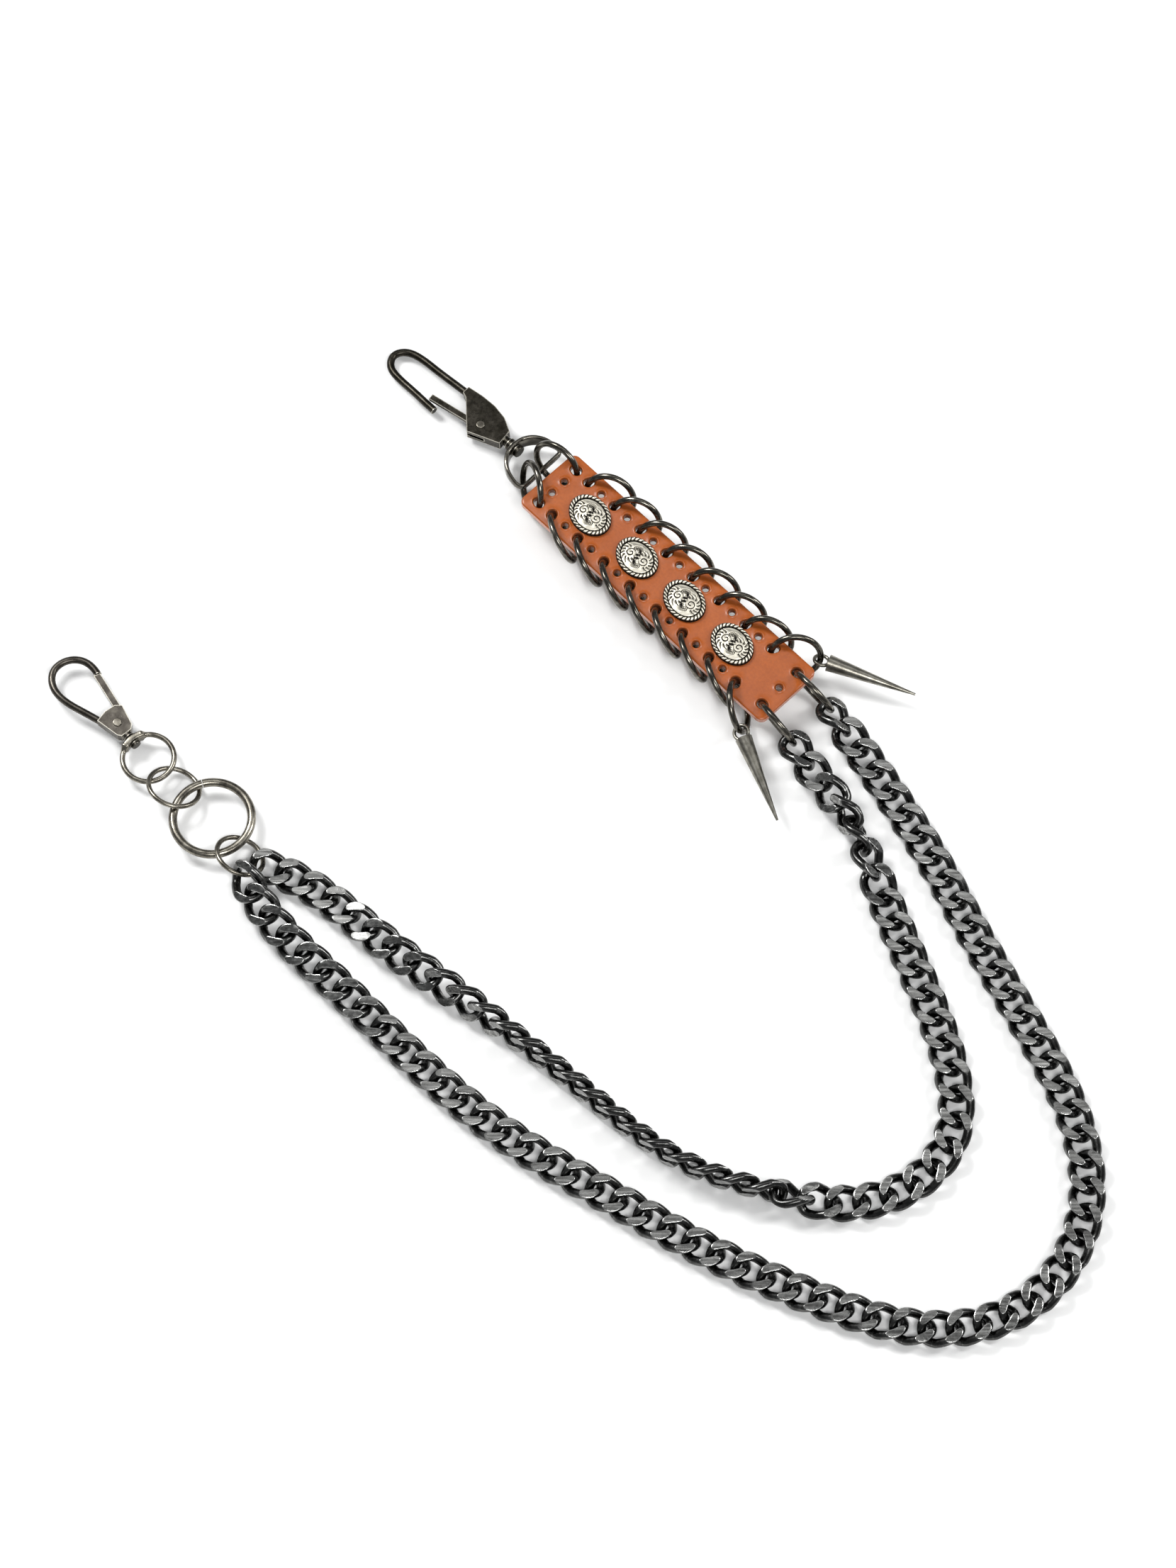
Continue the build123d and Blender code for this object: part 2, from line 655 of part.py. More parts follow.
# ---------- spikes on the last side ring of each edge ----------
for name in ("left", "right"):
    ring = side_planes[f"side_ring_{name}_{SIDE_RINGS}"]
    rise = ring.y_dir if ring.y_dir.Z > 0 else -ring.y_dir
    turn = radians(SPIKE_SEAT)
    seat = ring.origin + ring.x_dir * (lace_r * cos(turn)) + rise * (lace_r * sin(turn))
    wire = rise * cos(turn) - ring.x_dir * sin(turn)
    aim = along * SPIKE_AIM[name].X + left * SPIKE_AIM[name].Y + up * SPIKE_AIM[name].Z
    aim = (aim - wire * aim.dot(wire)).normalized()
    middle = seat + aim * (SPIKE_EYE_R - SPIKE_EYE_WIRE / 2 - LACE_WIRE / 2 - SIDE_PLAY)
    eye_plane = Plane(origin=middle, x_dir=aim, z_dir=wire)
    base = Plane(origin=middle + aim * (SPIKE_EYE_R - 0.2), z_dir=aim)
    with BuildPart(eye_plane) as spike:
        Torus(SPIKE_EYE_R, SPIKE_EYE_WIRE / 2)
        with BuildSketch(base):
            Circle(SPIKE_BASE_D / 2)
        with BuildSketch(base.offset(SPIKE_LENGTH)):
            Circle(SPIKE_TIP_D / 2)
        loft()
    save(spike.part, f"spike_{name}")
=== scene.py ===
import json
import math

import bpy
import numpy as np
from mathutils import Matrix, Vector
from mathutils.geometry import delaunay_2d_cdt


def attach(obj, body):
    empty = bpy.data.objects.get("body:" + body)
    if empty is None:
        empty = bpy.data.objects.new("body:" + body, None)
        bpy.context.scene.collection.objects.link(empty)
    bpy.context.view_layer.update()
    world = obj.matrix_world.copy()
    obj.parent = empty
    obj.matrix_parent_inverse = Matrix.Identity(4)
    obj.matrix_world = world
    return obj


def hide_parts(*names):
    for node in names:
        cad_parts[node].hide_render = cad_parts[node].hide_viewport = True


MM = 0.001

# Sizes are in millimetres unless a comment says metres.
# Leather strap: a runs along it from its top end, b to its left.
STRAP_LENGTH, STRAP_WIDTH, STRAP_THICK, STRAP_CORNER = 140.0, 32.0, 3.0, 3.0
STRAP_AT = Vector((-8.2, 150.0, 13.88))
STRAP_HEADING = math.radians(-45.6)
EDGE_ROW, EDGE_FIRST, EDGE_PITCH, EDGE_HOLES = 10.3, 14.0, 7.55, 15
TOP_ROW, TOP_HOLES = 6.9, (-10.65, -3.55, 3.55, 10.65)
END_ROW, END_HOLES = 134.1, (-10.0, 0.0, 10.0)
HOLE_R, FREE_HOLE_R = 1.95, 1.4
RING_SPLAY, LAST_RING_SPLAY = 27, 44
# How far rings draw out their holes: along the edges, at the last side rings, at the strap's ends.
EDGE_PULL, LAST_PULL, END_PULL = 0.75, 1.2, 1.0
CONCHO_FIRST, CONCHO_PITCH, CONCHO_COUNT = 25.5, 27.3, 4
CONCHO_TURN = math.radians(-10.0)
CONCHO_HALF = (10.2, 7.9)

# First hook: where its swivel stem meets the plates, heading and dip, and the bail on that stem.
HOOK1_AT, HOOK1_HEADING, HOOK1_DIP = (-21.9, 167.8, 5.78), 136.0, 3.3
STEM_Y, STEM_BORE = -0.6, 1.58
# Second hook: the centre of its swivel ring, heading, the ring's radius and the hole for its pin.
SWIVEL_AT, HOOK2_HEADING, SWIVEL_R, PIN_BORE = (-167.8, 27.7, 4.98), 131.0, 10.4, 1.28

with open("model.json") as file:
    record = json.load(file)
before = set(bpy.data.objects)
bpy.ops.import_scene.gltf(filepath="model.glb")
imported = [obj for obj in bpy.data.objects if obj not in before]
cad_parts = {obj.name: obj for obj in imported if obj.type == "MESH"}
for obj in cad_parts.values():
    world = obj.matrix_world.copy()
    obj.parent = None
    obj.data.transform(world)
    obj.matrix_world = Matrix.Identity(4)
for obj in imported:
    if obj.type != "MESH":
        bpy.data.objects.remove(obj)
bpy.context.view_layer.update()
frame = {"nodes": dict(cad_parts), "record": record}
nodes = frame["nodes"]


# ---------- materials ----------
BEVEL = 0.0007  # metres; how wide the metals' sharp edges are rounded


class Shader:
    """A node material built up from a few helpers; positions come from the piece itself."""

    def __init__(self, name):
        self.material = bpy.data.materials.new(name)
        self.material.use_nodes = True
        self.tree = self.material.node_tree
        self.bsdf = next(n for n in self.tree.nodes if n.type == "BSDF_PRINCIPLED")
        self.coords = self.tree.nodes.new("ShaderNodeTexCoord").outputs["Object"]

    def link(self, out, socket):
        self.tree.links.new(out, socket)

    def node(self, kind, **settings):
        made = self.tree.nodes.new(kind)
        for key, value in settings.items():
            setattr(made, key, value)
        return made

    def noise(self, scale, detail=4.0, roughness=0.55, stretch=None):
        made = self.node("ShaderNodeTexNoise")
        made.inputs["Scale"].default_value = scale
        made.inputs["Detail"].default_value = detail
        made.inputs["Roughness"].default_value = roughness
        source = self.coords
        if stretch:
            turn = self.node("ShaderNodeMapping")
            turn.inputs["Rotation"].default_value = (0, 0, math.radians(stretch[3]))
            turn.inputs["Scale"].default_value = stretch[:3]
            self.link(source, turn.inputs["Vector"])
            source = turn.outputs["Vector"]
        self.link(source, made.inputs["Vector"])
        return made.outputs["Fac"]

    def cells(self, scale):
        made = self.node("ShaderNodeTexVoronoi")
        made.inputs["Scale"].default_value = scale
        self.link(self.coords, made.inputs["Vector"])
        return made.outputs["Distance"]

    def attribute(self, name):
        return self.node("ShaderNodeAttribute", attribute_name=name).outputs["Fac"]

    def ramp(self, value, *stops):
        made = self.node("ShaderNodeValToRGB")
        ramp = made.color_ramp
        while len(ramp.elements) < len(stops):
            ramp.elements.new(0.5)
        for element, (at, colour) in zip(ramp.elements, stops):
            element.position = at
            shade = colour if isinstance(colour, tuple) else (colour, colour, colour)
            element.color = (*shade, 1)
        self.link(value, made.inputs["Fac"])
        return made.outputs["Color"]

    def mix(self, factor, a, b, mode="MIX"):
        made = self.node("ShaderNodeMix", data_type="RGBA", blend_type=mode)
        for value, socket in ((factor, made.inputs[0]), (a, made.inputs[6]), (b, made.inputs[7])):
            if isinstance(value, (int, float)):
                socket.default_value = value
            elif isinstance(value, tuple):
                socket.default_value = (*value, 1)
            else:
                self.link(value, socket)
        return made.outputs[2]

    def maths(self, operation, a, b):
        made = self.node("ShaderNodeMath", operation=operation)
        for value, socket in ((a, made.inputs[0]), (b, made.inputs[1])):
            if isinstance(value, (int, float)):
                socket.default_value = value
            else:
                self.link(value, socket)
        return made.outputs[0]

    def rounded(self, radius):
        """The surface's normal with its sharp edges rounded over."""
        made = self.node("ShaderNodeBevel", samples=6)
        made.inputs["Radius"].default_value = radius
        return made.outputs["Normal"]

    def arris(self, radius):
        """Mask that is 1 along sharp edges, where the rounded normal leaves the true one; aged_metal
        paints a highlight there.
        """
        facing = self.node("ShaderNodeVectorMath", operation="DOT_PRODUCT")
        self.link(self.rounded(radius), facing.inputs[0])
        self.link(self.node("ShaderNodeNewGeometry").outputs["Normal"], facing.inputs[1])
        return self.ramp(facing.outputs["Value"], (0.9, 1.0), (0.99, 0.0))

    def bump(self, height, strength, distance, after=None):
        made = self.node("ShaderNodeBump")
        made.inputs["Strength"].default_value = strength
        made.inputs["Distance"].default_value = distance
        self.link(height, made.inputs["Height"])
        if after:
            self.link(after, made.inputs["Normal"])
        return made.outputs["Normal"]

    def colour(self, out):
        self.link(out, self.bsdf.inputs["Base Color"])

    def normal(self, out):
        self.link(out, self.bsdf.inputs["Normal"])

    def rough(self, out):
        self.link(out, self.bsdf.inputs["Roughness"])

    def set(self, **values):
        for key, value in values.items():
            self.bsdf.inputs[key.replace("_", " ")].default_value = value


def aged_metal(
    name, tones, wear_and_highlight_colour, rough, brushed=None, wear=0.0, arris=0.0, specks=0.0, uneven=0.15, soft=0.0
):
    """Plated metal: patches of three tones, paler worn edges and chips, painted edge highlights, fine
    scratches.
    """
    s = Shader(name)
    patches = s.noise(900, 3, stretch=brushed) if brushed else s.noise(240, 5)
    tone = s.ramp(patches, *zip((0.34, 0.56, 0.78), tones))
    wear_and_highlight_mask = s.ramp(s.noise(2600, 3), (0.6, 0.0), (0.72, specks))
    if wear:
        pointed = s.node("ShaderNodeNewGeometry").outputs["Pointiness"]
        wear_and_highlight_mask = s.maths("MAXIMUM", wear_and_highlight_mask, s.ramp(pointed, (0.5, 0.0), (0.56, wear)))
    # Painted highlight: with arris, sharp edges take the same paler colour, as if they caught the
    # light.
    if arris:
        wear_and_highlight_mask = s.maths("MAXIMUM", wear_and_highlight_mask, s.maths("MULTIPLY", s.arris(BEVEL), arris))
    s.colour(s.mix(wear_and_highlight_mask, tone, wear_and_highlight_colour))
    s.rough(s.ramp(s.noise(700, 4), (0.3, rough[0]), (0.7, rough[1])))
    grain = s.noise(5200, 2, stretch=brushed) if brushed else s.noise(3400, 3)
    fine = s.bump(grain, 0.3, 0.00003, s.rounded(soft) if soft else None)
    s.normal(s.bump(s.noise(420, 3), uneven, 0.00012, fine))
    s.set(Metallic=1.0)
    return s.material


def relief_metal():
    """Cast silver: black left in the recesses, polished high points."""
    s = Shader("concho_silver")
    relief = s.attribute("relief")
    uneven = s.maths("ADD", relief, s.maths("MULTIPLY", s.noise(900, 4), 0.12))
    black, grey, bright = (0.012, 0.011, 0.01), (0.30, 0.28, 0.23), (0.78, 0.74, 0.63)
    s.colour(s.ramp(uneven, (0.2, black), (0.46, grey), (0.76, bright)))
    s.rough(s.ramp(uneven, (0.35, 0.6), (0.9, 0.36)))
    s.normal(s.bump(s.noise(3000, 3), 0.3, 0.00003))
    s.set(Metallic=1.0)
    return s.material


def leather():
    """Finished vegetable-tanned leather: even tan, faint pores, paler raw edge, painted shade in and
    round the holes.
    """
    s = Shader("tan_leather")
    face = s.ramp(s.noise(60, 5), (0.3, (0.30, 0.062, 0.0045)), (0.7, (0.37, 0.083, 0.0075)))
    mottle = s.ramp(s.noise(900, 4), (0.3, 0.86), (0.7, 1.05))
    face = s.mix(1.0, face, mottle, "MULTIPLY")
    # Painted shade: rim darkens the face where it falls into each hole, and the walls of the holes.
    rim = s.ramp(s.attribute("rim"), (0.2, 1.0), (1.0, 0.42))
    face = s.mix(1.0, face, rim, "MULTIPLY")
    raw = s.ramp(s.noise(1800, 4), (0.3, (0.50, 0.20, 0.13)), (0.7, (0.74, 0.38, 0.29)))
    flesh = s.ramp(s.noise(1300, 6, 0.7), (0.3, (0.30, 0.13, 0.06)), (0.7, (0.46, 0.23, 0.12)))
    side = s.mix(s.attribute("edge"), face, raw)
    s.colour(s.mix(s.attribute("flesh"), side, flesh))
    s.rough(s.ramp(s.noise(1500, 4), (0.3, 0.30), (0.7, 0.44)))
    pores = s.bump(s.cells(1700), 0.16, 0.00008)
    s.normal(s.bump(s.noise(300, 4), 0.12, 0.0003, pores))
    s.set(Metallic=0.0, Coat_Weight=0.2, Coat_Roughness=0.2)
    return s.material


# By material slot, except the spikes, the two hooks and the links' ground faces, which are named here.
metals = {
    "spike": aged_metal(
        "spike_finish",
        ((0.16, 0.15, 0.127), (0.29, 0.277, 0.238), (0.46, 0.44, 0.39)), (0.46, 0.44, 0.39),
        (0.28, 0.36), uneven=0.05,
    ),
    "dark_nickel": aged_metal(
        "dark_nickel_finish",
        ((0.04, 0.037, 0.031), (0.10, 0.092, 0.078), (0.36, 0.34, 0.29)), (0.36, 0.34, 0.29),
        (0.16, 0.26), wear=0.3, specks=0.1,
    ),
    "antique_nickel": aged_metal(
        "antique_nickel_finish",
        ((0.11, 0.10, 0.083), (0.25, 0.232, 0.193), (0.48, 0.45, 0.385)), (0.48, 0.45, 0.385),
        (0.22, 0.34), specks=0.15, uneven=0.1,
    ),
    "gunmetal_chain": aged_metal(
        "gunmetal_finish",
        ((0.006, 0.006, 0.006), (0.022, 0.022, 0.021), (0.12, 0.12, 0.118)), (0.40, 0.40, 0.39),
        (0.16, 0.3), wear=0.45, specks=0.1, uneven=0.25,
    ),
    # Hooks: arris paints a highlight along the sharp edges, in the paler colour after the three tones.
    "hook1": aged_metal(
        "pewter_finish",
        ((0.022, 0.020, 0.015), (0.040, 0.036, 0.029), (0.075, 0.068, 0.056)), (0.60, 0.57, 0.49),
        (0.24, 0.4), arris=1.0, specks=0.1,
    ),
    "hook2": aged_metal(
        "light_pewter_finish",
        ((0.045, 0.040, 0.034), (0.08, 0.072, 0.062), (0.13, 0.12, 0.10)), (0.62, 0.59, 0.51),
        (0.24, 0.4), arris=1.0, specks=0.1,
    ),
    # Ground faces: arris paints a highlight round their rims, in the pale colour after the three tones.
    "facet": aged_metal(
        "ground_facet_finish",
        ((0.10, 0.10, 0.097), (0.27, 0.27, 0.262), (0.52, 0.52, 0.505)), (0.85, 0.85, 0.83),
        (0.2, 0.32), brushed=(0.08, 1, 1, 30), arris=0.9, uneven=0.25, soft=BEVEL,
    ),
}
leather_look = leather()
relief_look = relief_metal()


def paint(node, material):
    mesh = nodes[node].data
    mesh.materials.clear()
    mesh.materials.append(material)


GROUND_AREA = 4e-6  # square metres
PLANES_PER_METRE, FACET_CELL = 5000, 0.006  # how finely planes are told apart; metres between places


def ground_faces(mesh):
    """Indices of the links' ground faces: the flat ones of more than GROUND_AREA in one place."""
    planes = {}
    for polygon in mesh.polygons:
        n = polygon.normal
        facing = (round(n.x, 2), round(n.y, 2), round(n.z, 2))
        depth = round(polygon.center.dot(n) * PLANES_PER_METRE)
        near = Vector(round(c, 3) // FACET_CELL for c in polygon.center)
        planes.setdefault((*facing, depth, *near), []).append(polygon)
    return [
        p.index for group in planes.values() if sum(p.area for p in group) > GROUND_AREA for p in group
    ]


slot_of = {s["node"]: s["material_slot"] for s in frame["record"]["subparts"]}
for node in nodes:
    if slot_of[node] in metals:
        paint(node, metals[slot_of[node]])
for node in ("spike_left", "spike_right"):
    paint(node, metals["spike"])
for node in ("hook1_body", "hook1_gate", "hook2_body", "hook2_gate"):
    paint(node, metals[node[:5]])
for node in ("hook1_rivet", "hook2_rivet"):
    paint(node, metals["antique_nickel"])
for node in nodes:
    if slot_of[node] == "gunmetal_chain":
        mesh = nodes[node].data
        mesh.materials.append(metals["facet"])
        for index in ground_faces(mesh):
            mesh.polygons[index].material_index = 1


# ---------- meshes ----------
def add_mesh(name, points, faces, material):
    mesh = bpy.data.meshes.new(name)
    mesh.from_pydata([tuple(p) for p in points], [], faces)
    if material:
        mesh.materials.append(material)
    mesh.update()
    mesh.polygons.foreach_set("use_smooth", [True] * len(mesh.polygons))
    return mesh


def add_values(mesh, name, values):
    layer = mesh.attributes.new(name, "FLOAT", "POINT")
    layer.data.foreach_set("value", np.asarray(values, np.float32))


def add_object(name, mesh):
    made = bpy.data.objects.new(name, mesh)
    bpy.context.scene.collection.objects.link(made)
    return made


strap_frame = Matrix.Translation(STRAP_AT * MM) @ Matrix.Rotation(STRAP_HEADING, 4, "Z")


# ---------- leather strap ----------
def lacing(side, splay):
    """Angle of the way a laced ring leaves its hole, towards the edge and down the strap."""
    return math.atan2(side * math.cos(math.radians(splay)), math.sin(math.radians(splay)))


free = (0.0, FREE_HOLE_R)
holes = []  # a, b, the angle it is drawn out at, how far, radius
for i in range(EDGE_HOLES):
    last_hole = i == EDGE_HOLES - 1
    splay = LAST_RING_SPLAY if last_hole else RING_SPLAY
    laced = (LAST_PULL if last_hole else EDGE_PULL, HOLE_R)
    for side in (-1, 1):
        shape = laced if i % 2 == 0 else free
        holes.append((EDGE_FIRST + i * EDGE_PITCH, side * EDGE_ROW, lacing(side, splay), *shape))
for a, row, angle in ((TOP_ROW, TOP_HOLES, math.pi), (END_ROW, END_HOLES, 0.0)):
    for b in row:
        at_corner = abs(b) > 5
        shape = (END_PULL, HOLE_R) if at_corner else free
        holes.append((a, b, angle, *shape))


def hole_ring(hole, radius, count):
    """Closed outline round a hole; laced holes are drawn out the way their ring pulls."""
    a, b, angle, pull, _ = hole
    ring = []
    for k in range(count):
        t = 2 * math.pi * k / count
        x, y = radius * math.cos(t), radius * math.sin(t)
        x += pull * max(math.cos(t), 0)
        ring.append((
            a + x * math.cos(angle) - y * math.sin(angle), b + x * math.sin(angle) + y * math.cos(angle)
        ))
    return ring


OUTLINE_STEP, LEAST_CORNER = 1.2, 0.8


def outline(inset, steps=10):
    """Rounded rectangle, inset from the strap's edge."""
    r = max(STRAP_CORNER - inset, LEAST_CORNER)
    points = []
    for cx, cy, start in (
        (STRAP_LENGTH - inset - r, STRAP_WIDTH / 2 - inset - r, 0),
        (inset + r, STRAP_WIDTH / 2 - inset - r, 90),
        (inset + r, -STRAP_WIDTH / 2 + inset + r, 180),
        (STRAP_LENGTH - inset - r, -STRAP_WIDTH / 2 + inset + r, 270),
    ):
        for k in range(steps + 1):
            t = math.radians(start + 90 * k / steps)
            points.append((cx + r * math.cos(t), cy + r * math.sin(t)))
    dense = []
    for p, q in zip(points, points[1:] + points[:1]):
        count = max(1, round(math.dist(p, q) / OUTLINE_STEP))
        for k in range(count):
            dense.append((p[0] + (q[0] - p[0]) * k / count, p[1] + (q[1] - p[1]) * k / count))
    return dense


# The mesh follows these loops: at these distances round each hole, and these insets from the edge.
HOLE_RINGS = (0.0, 0.2, 0.42, 0.64, 0.88, 1.2)
EDGE_INSETS = (0.0, 0.18, 0.5, 1.0)
RING_STEPS = 28
# The rest of the sheet is a grid with every other row shifted.
GRID_FIRST, GRID_STEP, GRID_ROWS, GRID_COLUMNS = (1.9, -14.4), (1.1, 1.07), 28, 126
GRID_SHIFT, GRID_MARGIN, HOLE_MARGIN = 0.5, (1.8, 1.7), 0.4
loops = [outline(d) for d in EDGE_INSETS]
loops += [hole_ring(h, h[4] + r, RING_STEPS) for h in holes for r in HOLE_RINGS]
flat, loop_edges = [], []
for loop in loops:
    start = len(flat)
    flat += loop
    loop_edges += [(start + k, start + (k + 1) % len(loop)) for k in range(len(loop))]


def clear_of_holes(a, b, margin):
    return all(math.hypot(a - h[0], b - h[1]) > HOLE_RINGS[-1] + h[4] + h[3] + margin for h in holes)


for row in range(GRID_ROWS):
    for column in range(GRID_COLUMNS):
        a = GRID_FIRST[0] + column * GRID_STEP[0] + (row % 2) * GRID_SHIFT
        b = GRID_FIRST[1] + row * GRID_STEP[1]
        inside = a < STRAP_LENGTH - GRID_MARGIN[0] and abs(b) < STRAP_WIDTH / 2 - GRID_MARGIN[1]
        if inside and clear_of_holes(a, b, HOLE_MARGIN):
            flat.append((a, b))
found = delaunay_2d_cdt([Vector(p) for p in flat], loop_edges, [], 0, 1e-5)
spots, triangles = found[0], found[2]


def hole_distance(hole, a, b):
    """Distance past the hole's own edge; negative inside it."""
    x = (a - hole[0]) * math.cos(hole[2]) + (b - hole[1]) * math.sin(hole[2])
    y = (b - hole[1]) * math.cos(hole[2]) - (a - hole[0]) * math.sin(hole[2])
    t = math.atan2(y, x)
    x -= hole[3] * max(math.cos(t), 0)
    return math.hypot(x, y) - hole[4]


def edge_distance(a, b):
    x = abs(a - STRAP_LENGTH / 2) - (STRAP_LENGTH / 2 - STRAP_CORNER)
    y = abs(b) - (STRAP_WIDTH / 2 - STRAP_CORNER)
    outside = math.hypot(max(x, 0), max(y, 0)) + min(max(x, y), 0)
    return STRAP_CORNER - outside


HOLE_REACH, FAR = 6, 9.0  # holes further off than the reach count as far


def nearest_hole(a, b):
    """Distance past the nearest hole's edge, and how far that hole is drawn out."""
    close = [h for h in holes if math.hypot(a - h[0], b - h[1]) < HOLE_REACH]
    return min([(hole_distance(h, a, b), h[3]) for h in close], default=(FAR, 0.0))


def concho_hollow(a, b):
    """How hard the leather is pulled down beside a concho, from 0 to 1."""
    pull = 0.0
    for i in range(CONCHO_COUNT):
        x, y = (a - CONCHO_FIRST - i * CONCHO_PITCH) / CONCHO_HALF[0], b / CONCHO_HALF[1]
        beyond = max(math.hypot(x, y) - 1.0, 0)
        pull = max(pull, math.exp(-(beyond / 0.22) ** 2))
    return pull


LACED_LIP, FREE_LIP, HOLE_FALL, EDGE_FALL = 0.16, 0.34, 0.55, 0.5
CREASE, CONCHO_FALL = 0.04, 0.16
FACE = STRAP_THICK / 2 - 0.12
top_height, hole_shade_value = [], []
for spot in spots:
    a, b = spot
    past, pull = nearest_hole(a, b)
    past, inset = max(past, 0.0), max(edge_distance(a, b), 0.0)
    lip = (LACED_LIP if pull else FREE_LIP) * math.exp(-(((past - 0.64) / 0.27) ** 2))
    fall = HOLE_FALL * math.exp(-((past / 0.26) ** 2)) + EDGE_FALL * max(1 - inset / 0.9, 0) ** 2
    wave = 0.06 * math.sin(a * 0.11 + 1.0) * math.cos(b * 0.21) + 0.03 * math.sin(a * 0.37 + b * 0.3)
    crease = CREASE * math.exp(-(((inset - 1.9) / 0.35) ** 2))
    top_height.append(FACE + lip - fall + wave - crease - CONCHO_FALL * concho_hollow(a, b))
    # Painted shade round each hole, strongest at its edge; the leather's rim value.
    hole_shade_value.append(math.exp(-((past / 0.32) ** 2)))

keep = []
for triangle in triangles:
    a = sum(spots[k][0] for k in triangle) / 3
    b = sum(spots[k][1] for k in triangle) / 3
    if edge_distance(a, b) > 0 and nearest_hole(a, b)[0] > 0:
        keep.append(list(triangle))
count = len(spots)
points = [(s[0] * MM, s[1] * MM, h * MM) for s, h in zip(spots, top_height)]
points += [(s[0] * MM, s[1] * MM, -STRAP_THICK / 2 * MM) for s in spots]
faces, used_edges = [], set()
for triangle in keep:
    p, q, r = (spots[k] for k in triangle)
    if (q[0] - p[0]) * (r[1] - p[1]) - (q[1] - p[1]) * (r[0] - p[0]) < 0:
        triangle.reverse()
    faces.append(triangle)
    faces.append([k + count for k in reversed(triangle)])
    for k, m in zip(triangle, triangle[1:] + triangle[:1]):
        used_edges.add((k, m))
rim_edges = sorted((k, m) for k, m in used_edges if (m, k) not in used_edges)
# The cut wall has its own points, so that it shades with a crisp arris.
wall_points, wall_at = [], {}
LEVELS = 5
for k in sorted({v for pair in rim_edges for v in pair}):
    wall_at[k] = len(points) + len(wall_points)
    a, b = spots[k]
    for level in range(LEVELS):
        f = level / (LEVELS - 1)
        z = points[k][2] * (1 - f) + points[k + count][2] * f
        wall_points.append((a * MM, b * MM, z))
points += wall_points
for k, m in rim_edges:
    for level in range(LEVELS - 1):
        u, v = wall_at[k] + level, wall_at[m] + level
        faces.append([u, u + 1, v + 1, v])
strap_mesh = add_mesh("leather_strap_look", points, faces, leather_look)
# The strap's raw edge is pale; the walls of its holes keep most of the face's colour, under painted
# shade (rim 0.9).
edge_value = [1.0 if edge_distance(p[0] / MM, p[1] / MM) < 0.6 else 0.1 for p in wall_points]
add_values(strap_mesh, "edge", [0.0] * (2 * count) + edge_value)
add_values(strap_mesh, "rim", hole_shade_value + hole_shade_value + [0.9] * len(wall_points))
add_values(strap_mesh, "flesh", [0.0] * count + [1.0] * count + [0.0] * len(wall_points))
strap = add_object("strap_leather", strap_mesh)
strap.matrix_world = strap_frame
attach(strap, "strap")
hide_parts("leather_strap")


# ---------- conchos: a dished oval with a rope border and a scrollwork field ----------
def spiral(cx, cy, start, turns, r0, r1, steps=60):
    """Points on a coil that opens from r0 to r1."""
    out = []
    for k in range(steps + 1):
        f = k / steps
        angle = start + 2 * math.pi * turns * f
        radius = r0 + (r1 - r0) * f**0.85
        out.append((cx + radius * math.cos(angle), cy + radius * math.sin(angle)))
    return out


def between(p, q, bow, steps=24):
    """A bowed cut from p to q; bow is how far its middle stands off to the left."""
    out = []
    length = math.dist(p, q)
    for k in range(steps + 1):
        f = k / steps
        lift = bow * 4 * f * (1 - f)
        x, y = p[0] + (q[0] - p[0]) * f, p[1] + (q[1] - p[1]) * f
        out.append((x - (q[1] - p[1]) / length * lift, y + (q[0] - p[0]) / length * lift))
    return out


def scrollwork():
    """The cuts of one half; the other half is the same turned half round."""
    coil_at = (3.2, 0.9)
    coil = spiral(*coil_at, 5.8, -1.35, 0.35, 2.25)
    cuts = [(coil, 0.2)]
    for gap, width in ((0.0, 0.2), (0.55, 0.12), (1.1, 0.1)):
        start = (coil[-1][0] - gap * 0.2, coil[-1][1] - gap)
        cuts.append((between(start, (0.0, -gap * 0.6), 0.4), width))
    for k in range(10):
        turn = 205 - k * 27
        x, y = math.cos(math.radians(turn)), math.sin(math.radians(turn))
        start = (coil_at[0] + 2.6 * x, coil_at[1] + 2.5 * y)
        for lead, reach, width in ((24, 4.9, 0.15), (10, 4.2, 0.1), (-3, 3.6, 0.08)):
            tip = math.radians(turn + lead)
            goal = (coil_at[0] + reach * math.cos(tip), coil_at[1] + reach * math.sin(tip))
            cuts.append((between(start, goal, -0.28), width))
    for k in range(8):
        f = k / 7
        start = (0.6 - 3.9 * f, 1.1 + 0.9 * math.sin(math.pi * f))
        goal = (start[0] - 1.7 + 0.9 * f, start[1] + 3.0 - 1.2 * f)
        cuts.append((between(start, goal, 0.5), 0.14))
        vein = (start[0] - 0.25, start[1] + 0.1), (goal[0] + 0.55, goal[1] - 0.9)
        cuts.append((between(*vein, 0.35), 0.08))
    return cuts


# U runs from the centre (0) to the rim (1) and T round it; the scrollwork fills U below FIELD_U.
ROUND, FIELD_U = 360, 0.76
u = np.concatenate([np.linspace(0, FIELD_U, 44)[1:], np.linspace(FIELD_U, 1.0, 36)[1:]])
t = np.linspace(0, 2 * np.pi, ROUND, endpoint=False)
U, T = np.meshgrid(u, t, indexing="ij")
X, Y = CONCHO_HALF[0] * U * np.cos(T), CONCHO_HALF[1] * U * np.sin(T)
line_points, widths = [], []
for path, width in scrollwork():
    fine = []
    for (x0, y0), (x1, y1) in zip(path, path[1:]):
        for f in (0.0, 0.34, 0.67):
            fine.append((x0 + (x1 - x0) * f, y0 + (y1 - y0) * f))
    for k, (x, y) in enumerate(fine):
        taper = width * (0.4 + 0.5 * math.sin(math.pi * min(1, 0.25 + 0.75 * k / len(fine))))
        line_points += [(x, y), (-x, -y)]
        widths += [taper, taper]
line_points, widths = np.array(line_points), np.array(widths)
